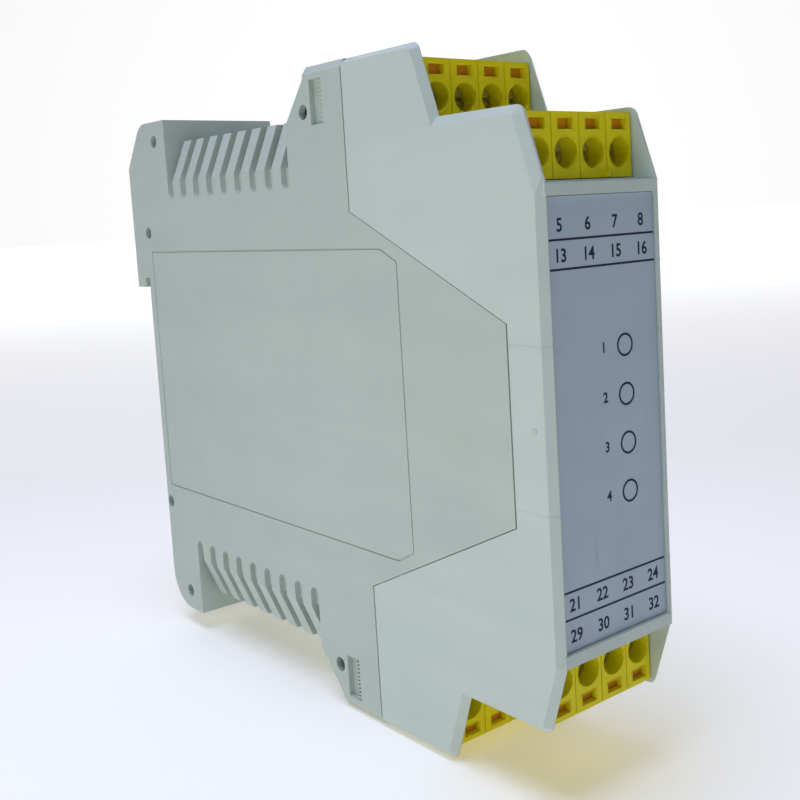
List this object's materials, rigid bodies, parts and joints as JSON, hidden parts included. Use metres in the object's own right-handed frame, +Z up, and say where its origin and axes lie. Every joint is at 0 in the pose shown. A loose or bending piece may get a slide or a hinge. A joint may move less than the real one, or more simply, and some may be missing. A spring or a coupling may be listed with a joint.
{
  "type": "safety relay",
  "caption": "Narrow rail-mounted safety relay with stepped pull-off screw terminal plugs, status lamps, louvred ends and a sprung rail foot.",
  "frame": {"origin": "middle of the seat face that lies on the rail, at the rail's centre line", "axes": "+X across the width to the right seen from the front, +Y from the front to the rail, +Z up"},
  "size_m": [0.0226, 0.1112, 0.0992],
  "materials": {
    "housing_plastic": "light grey moulded, fine satin grain",
    "cover_plastic": "light grey moulded, fine satin grain",
    "label_film": "pale blue-grey printed film",
    "foot_plastic": "dark grey moulded",
    "spring_steel": "drawn wire",
    "board_laminate": "green solder mask",
    "lamp_lens": "diffused clear lens",
    "relay_case": "moulded relay case",
    "capacitor_sleeve": "shrink sleeve",
    "chip_resin": "moulded resin",
    "plug_plastic": "saturated yellow moulded",
    "contact_tin": "tinned",
    "header_plastic": "green moulded",
    "clamp_screw_steel": "zinc plated, slotted",
    "clamp_cage_brass": "nickel-plated brass"
  },
  "bodies": {
    "case": {"rear_housing": "housing_plastic", "front_cover": "cover_plastic", "front_label": "label_film", "foot_spring": "spring_steel", "main_board": "board_laminate", "indicator_board": "board_laminate", "indicator_lamps": "lamp_lens", "relay_k1": "relay_case", "relay_k2": "relay_case", "supply_capacitors": "capacitor_sleeve", "control_chips": "chip_resin", "header_upper_front": "header_plastic", "header_upper_rear": "header_plastic", "header_lower_front": "header_plastic", "header_lower_rear": "header_plastic", "pins_upper_front": "contact_tin", "pins_upper_rear": "contact_tin", "pins_lower_front": "contact_tin", "pins_lower_rear": "contact_tin"},
    "foot": {"rail_foot": "foot_plastic"},
    "plug_upper_front": {"plug_upper_front": "plug_plastic", "contacts_upper_front": "contact_tin"},
    "screw_upper_front_1": {"screw_upper_front_1": "clamp_screw_steel"},
    "cage_upper_front_1": {"cage_upper_front_1": "clamp_cage_brass"},
    "screw_upper_front_2": {"screw_upper_front_2": "clamp_screw_steel"},
    "cage_upper_front_2": {"cage_upper_front_2": "clamp_cage_brass"},
    "screw_upper_front_3": {"screw_upper_front_3": "clamp_screw_steel"},
    "cage_upper_front_3": {"cage_upper_front_3": "clamp_cage_brass"},
    "screw_upper_front_4": {"screw_upper_front_4": "clamp_screw_steel"},
    "cage_upper_front_4": {"cage_upper_front_4": "clamp_cage_brass"},
    "plug_upper_rear": {"plug_upper_rear": "plug_plastic", "contacts_upper_rear": "contact_tin"},
    "screw_upper_rear_1": {"screw_upper_rear_1": "clamp_screw_steel"},
    "cage_upper_rear_1": {"cage_upper_rear_1": "clamp_cage_brass"},
    "screw_upper_rear_2": {"screw_upper_rear_2": "clamp_screw_steel"},
    "cage_upper_rear_2": {"cage_upper_rear_2": "clamp_cage_brass"},
    "screw_upper_rear_3": {"screw_upper_rear_3": "clamp_screw_steel"},
    "cage_upper_rear_3": {"cage_upper_rear_3": "clamp_cage_brass"},
    "screw_upper_rear_4": {"screw_upper_rear_4": "clamp_screw_steel"},
    "cage_upper_rear_4": {"cage_upper_rear_4": "clamp_cage_brass"},
    "plug_lower_front": {"plug_lower_front": "plug_plastic", "contacts_lower_front": "contact_tin"},
    "screw_lower_front_1": {"screw_lower_front_1": "clamp_screw_steel"},
    "cage_lower_front_1": {"cage_lower_front_1": "clamp_cage_brass"},
    "screw_lower_front_2": {"screw_lower_front_2": "clamp_screw_steel"},
    "cage_lower_front_2": {"cage_lower_front_2": "clamp_cage_brass"},
    "screw_lower_front_3": {"screw_lower_front_3": "clamp_screw_steel"},
    "cage_lower_front_3": {"cage_lower_front_3": "clamp_cage_brass"},
    "screw_lower_front_4": {"screw_lower_front_4": "clamp_screw_steel"},
    "cage_lower_front_4": {"cage_lower_front_4": "clamp_cage_brass"},
    "plug_lower_rear": {"plug_lower_rear": "plug_plastic", "contacts_lower_rear": "contact_tin"},
    "screw_lower_rear_1": {"screw_lower_rear_1": "clamp_screw_steel"},
    "cage_lower_rear_1": {"cage_lower_rear_1": "clamp_cage_brass"},
    "screw_lower_rear_2": {"screw_lower_rear_2": "clamp_screw_steel"},
    "cage_lower_rear_2": {"cage_lower_rear_2": "clamp_cage_brass"},
    "screw_lower_rear_3": {"screw_lower_rear_3": "clamp_screw_steel"},
    "cage_lower_rear_3": {"cage_lower_rear_3": "clamp_cage_brass"},
    "screw_lower_rear_4": {"screw_lower_rear_4": "clamp_screw_steel"},
    "cage_lower_rear_4": {"cage_lower_rear_4": "clamp_cage_brass"}
  },
  "joints": [
    {"name": "foot_slide", "type": "slide", "parent": "case", "child": "foot", "axis": [0, 0, -1], "range_m": [0, 0.004], "stiffness_N_per_m": 800, "springref_m": -0.004, "deforming": ["foot_spring"]},
    {"name": "pull_upper_front", "type": "slide", "parent": "case", "child": "plug_upper_front", "axis": [0, -1, 0], "range_m": [0, 0.012]},
    {"name": "turn_upper_front_1", "type": "hinge", "parent": "plug_upper_front", "child": "screw_upper_front_1", "pos_m": [-0.0075, -0.09995, 0.03365], "axis": [0, 1, 0], "range_deg": [0, 1800]},
    {"name": "lift_upper_front_1", "type": "slide", "parent": "plug_upper_front", "child": "cage_upper_front_1", "axis": [0, -1, 0], "range_m": [0, 0.0025]},
    {"name": "turn_upper_front_2", "type": "hinge", "parent": "plug_upper_front", "child": "screw_upper_front_2", "pos_m": [-0.0025, -0.09995, 0.03365], "axis": [0, 1, 0], "range_deg": [0, 1800]},
    {"name": "lift_upper_front_2", "type": "slide", "parent": "plug_upper_front", "child": "cage_upper_front_2", "axis": [0, -1, 0], "range_m": [0, 0.0025]},
    {"name": "turn_upper_front_3", "type": "hinge", "parent": "plug_upper_front", "child": "screw_upper_front_3", "pos_m": [0.0025, -0.09995, 0.03365], "axis": [0, 1, 0], "range_deg": [0, 1800]},
    {"name": "lift_upper_front_3", "type": "slide", "parent": "plug_upper_front", "child": "cage_upper_front_3", "axis": [0, -1, 0], "range_m": [0, 0.0025]},
    {"name": "turn_upper_front_4", "type": "hinge", "parent": "plug_upper_front", "child": "screw_upper_front_4", "pos_m": [0.0075, -0.09995, 0.03365], "axis": [0, 1, 0], "range_deg": [0, 1800]},
    {"name": "lift_upper_front_4", "type": "slide", "parent": "plug_upper_front", "child": "cage_upper_front_4", "axis": [0, -1, 0], "range_m": [0, 0.0025]},
    {"name": "pull_upper_rear", "type": "slide", "parent": "case", "child": "plug_upper_rear", "axis": [0, -1, 0], "range_m": [0, 0.012]},
    {"name": "turn_upper_rear_1", "type": "hinge", "parent": "plug_upper_rear", "child": "screw_upper_rear_1", "pos_m": [-0.0075, -0.08165, 0.04248], "axis": [0, 1, 0], "range_deg": [0, 1800]},
    {"name": "lift_upper_rear_1", "type": "slide", "parent": "plug_upper_rear", "child": "cage_upper_rear_1", "axis": [0, -1, 0], "range_m": [0, 0.0025]},
    {"name": "turn_upper_rear_2", "type": "hinge", "parent": "plug_upper_rear", "child": "screw_upper_rear_2", "pos_m": [-0.0025, -0.08165, 0.04248], "axis": [0, 1, 0], "range_deg": [0, 1800]},
    {"name": "lift_upper_rear_2", "type": "slide", "parent": "plug_upper_rear", "child": "cage_upper_rear_2", "axis": [0, -1, 0], "range_m": [0, 0.0025]},
    {"name": "turn_upper_rear_3", "type": "hinge", "parent": "plug_upper_rear", "child": "screw_upper_rear_3", "pos_m": [0.0025, -0.08165, 0.04248], "axis": [0, 1, 0], "range_deg": [0, 1800]},
    {"name": "lift_upper_rear_3", "type": "slide", "parent": "plug_upper_rear", "child": "cage_upper_rear_3", "axis": [0, -1, 0], "range_m": [0, 0.0025]},
    {"name": "turn_upper_rear_4", "type": "hinge", "parent": "plug_upper_rear", "child": "screw_upper_rear_4", "pos_m": [0.0075, -0.08165, 0.04248], "axis": [0, 1, 0], "range_deg": [0, 1800]},
    {"name": "lift_upper_rear_4", "type": "slide", "parent": "plug_upper_rear", "child": "cage_upper_rear_4", "axis": [0, -1, 0], "range_m": [0, 0.0025]},
    {"name": "pull_lower_front", "type": "slide", "parent": "case", "child": "plug_lower_front", "axis": [0, -1, 0], "range_m": [0, 0.012]},
    {"name": "turn_lower_front_1", "type": "hinge", "parent": "plug_lower_front", "child": "screw_lower_front_1", "pos_m": [-0.0075, -0.09995, -0.03365], "axis": [0, 1, 0], "range_deg": [0, 1800]},
    {"name": "lift_lower_front_1", "type": "slide", "parent": "plug_lower_front", "child": "cage_lower_front_1", "axis": [0, -1, 0], "range_m": [0, 0.0025]},
    {"name": "turn_lower_front_2", "type": "hinge", "parent": "plug_lower_front", "child": "screw_lower_front_2", "pos_m": [-0.0025, -0.09995, -0.03365], "axis": [0, 1, 0], "range_deg": [0, 1800]},
    {"name": "lift_lower_front_2", "type": "slide", "parent": "plug_lower_front", "child": "cage_lower_front_2", "axis": [0, -1, 0], "range_m": [0, 0.0025]},
    {"name": "turn_lower_front_3", "type": "hinge", "parent": "plug_lower_front", "child": "screw_lower_front_3", "pos_m": [0.0025, -0.09995, -0.03365], "axis": [0, 1, 0], "range_deg": [0, 1800]},
    {"name": "lift_lower_front_3", "type": "slide", "parent": "plug_lower_front", "child": "cage_lower_front_3", "axis": [0, -1, 0], "range_m": [0, 0.0025]},
    {"name": "turn_lower_front_4", "type": "hinge", "parent": "plug_lower_front", "child": "screw_lower_front_4", "pos_m": [0.0075, -0.09995, -0.03365], "axis": [0, 1, 0], "range_deg": [0, 1800]},
    {"name": "lift_lower_front_4", "type": "slide", "parent": "plug_lower_front", "child": "cage_lower_front_4", "axis": [0, -1, 0], "range_m": [0, 0.0025]},
    {"name": "pull_lower_rear", "type": "slide", "parent": "case", "child": "plug_lower_rear", "axis": [0, -1, 0], "range_m": [0, 0.012]},
    {"name": "turn_lower_rear_1", "type": "hinge", "parent": "plug_lower_rear", "child": "screw_lower_rear_1", "pos_m": [-0.0075, -0.08165, -0.04248], "axis": [0, 1, 0], "range_deg": [0, 1800]},
    {"name": "lift_lower_rear_1", "type": "slide", "parent": "plug_lower_rear", "child": "cage_lower_rear_1", "axis": [0, -1, 0], "range_m": [0, 0.0025]},
    {"name": "turn_lower_rear_2", "type": "hinge", "parent": "plug_lower_rear", "child": "screw_lower_rear_2", "pos_m": [-0.0025, -0.08165, -0.04248], "axis": [0, 1, 0], "range_deg": [0, 1800]},
    {"name": "lift_lower_rear_2", "type": "slide", "parent": "plug_lower_rear", "child": "cage_lower_rear_2", "axis": [0, -1, 0], "range_m": [0, 0.0025]},
    {"name": "turn_lower_rear_3", "type": "hinge", "parent": "plug_lower_rear", "child": "screw_lower_rear_3", "pos_m": [0.0025, -0.08165, -0.04248], "axis": [0, 1, 0], "range_deg": [0, 1800]},
    {"name": "lift_lower_rear_3", "type": "slide", "parent": "plug_lower_rear", "child": "cage_lower_rear_3", "axis": [0, -1, 0], "range_m": [0, 0.0025]},
    {"name": "turn_lower_rear_4", "type": "hinge", "parent": "plug_lower_rear", "child": "screw_lower_rear_4", "pos_m": [0.0075, -0.08165, -0.04248], "axis": [0, 1, 0], "range_deg": [0, 1800]},
    {"name": "lift_lower_rear_4", "type": "slide", "parent": "plug_lower_rear", "child": "cage_lower_rear_4", "axis": [0, -1, 0], "range_m": [0, 0.0025]}
  ],
  "couplings": [
    {"joint": "turn_upper_front_1", "follows": "lift_upper_front_1", "rad_per_m": 12566},
    {"joint": "turn_upper_front_2", "follows": "lift_upper_front_2", "rad_per_m": 12566},
    {"joint": "turn_upper_front_3", "follows": "lift_upper_front_3", "rad_per_m": 12566},
    {"joint": "turn_upper_front_4", "follows": "lift_upper_front_4", "rad_per_m": 12566},
    {"joint": "turn_upper_rear_1", "follows": "lift_upper_rear_1", "rad_per_m": 12566},
    {"joint": "turn_upper_rear_2", "follows": "lift_upper_rear_2", "rad_per_m": 12566},
    {"joint": "turn_upper_rear_3", "follows": "lift_upper_rear_3", "rad_per_m": 12566},
    {"joint": "turn_upper_rear_4", "follows": "lift_upper_rear_4", "rad_per_m": 12566},
    {"joint": "turn_lower_front_1", "follows": "lift_lower_front_1", "rad_per_m": 12566},
    {"joint": "turn_lower_front_2", "follows": "lift_lower_front_2", "rad_per_m": 12566},
    {"joint": "turn_lower_front_3", "follows": "lift_lower_front_3", "rad_per_m": 12566},
    {"joint": "turn_lower_front_4", "follows": "lift_lower_front_4", "rad_per_m": 12566},
    {"joint": "turn_lower_rear_1", "follows": "lift_lower_rear_1", "rad_per_m": 12566},
    {"joint": "turn_lower_rear_2", "follows": "lift_lower_rear_2", "rad_per_m": 12566},
    {"joint": "turn_lower_rear_3", "follows": "lift_lower_rear_3", "rad_per_m": 12566},
    {"joint": "turn_lower_rear_4", "follows": "lift_lower_rear_4", "rad_per_m": 12566}
  ]
}
